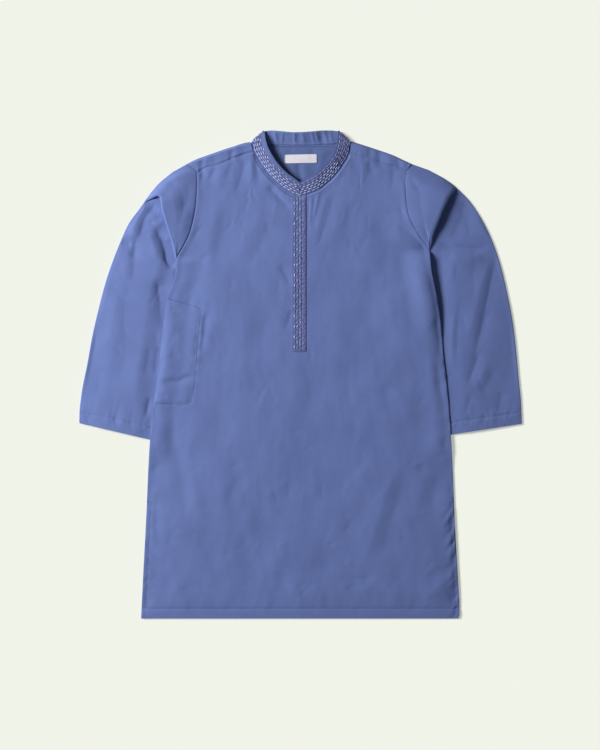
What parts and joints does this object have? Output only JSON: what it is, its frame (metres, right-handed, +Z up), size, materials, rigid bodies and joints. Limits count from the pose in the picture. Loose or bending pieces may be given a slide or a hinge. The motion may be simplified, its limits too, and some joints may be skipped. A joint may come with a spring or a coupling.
{
  "type": "kurta tunic",
  "caption": "Knee-length cotton kurta tunic with a band collar, a front placket with running-stitch rows, elbow-length sleeves and side slits, laid flat with its front up.",
  "frame": {"origin": "centre of the whole garment's outline, on the surface that it lies on", "axes": "+Y from the hem to the collar, +Z up out of the garment's front, +X towards the wearer's left"},
  "size_m": [0.905, 0.9979, 0.0153],
  "materials": {
    "cotton": "plain-woven blue cotton, matt with a slight sheen",
    "band": "the same blue cotton, doubled, with rows of pale running stitch",
    "tape": "blank white woven tape"
  },
  "bodies": {
    "root": {"back_panel": "cotton", "front_panel": "cotton", "yoke": "cotton", "sleeve_left": "cotton", "sleeve_right": "cotton", "pocket_bag": "cotton", "collar": "band", "placket": "band", "label": "tape"}
  },
  "joints": []
}
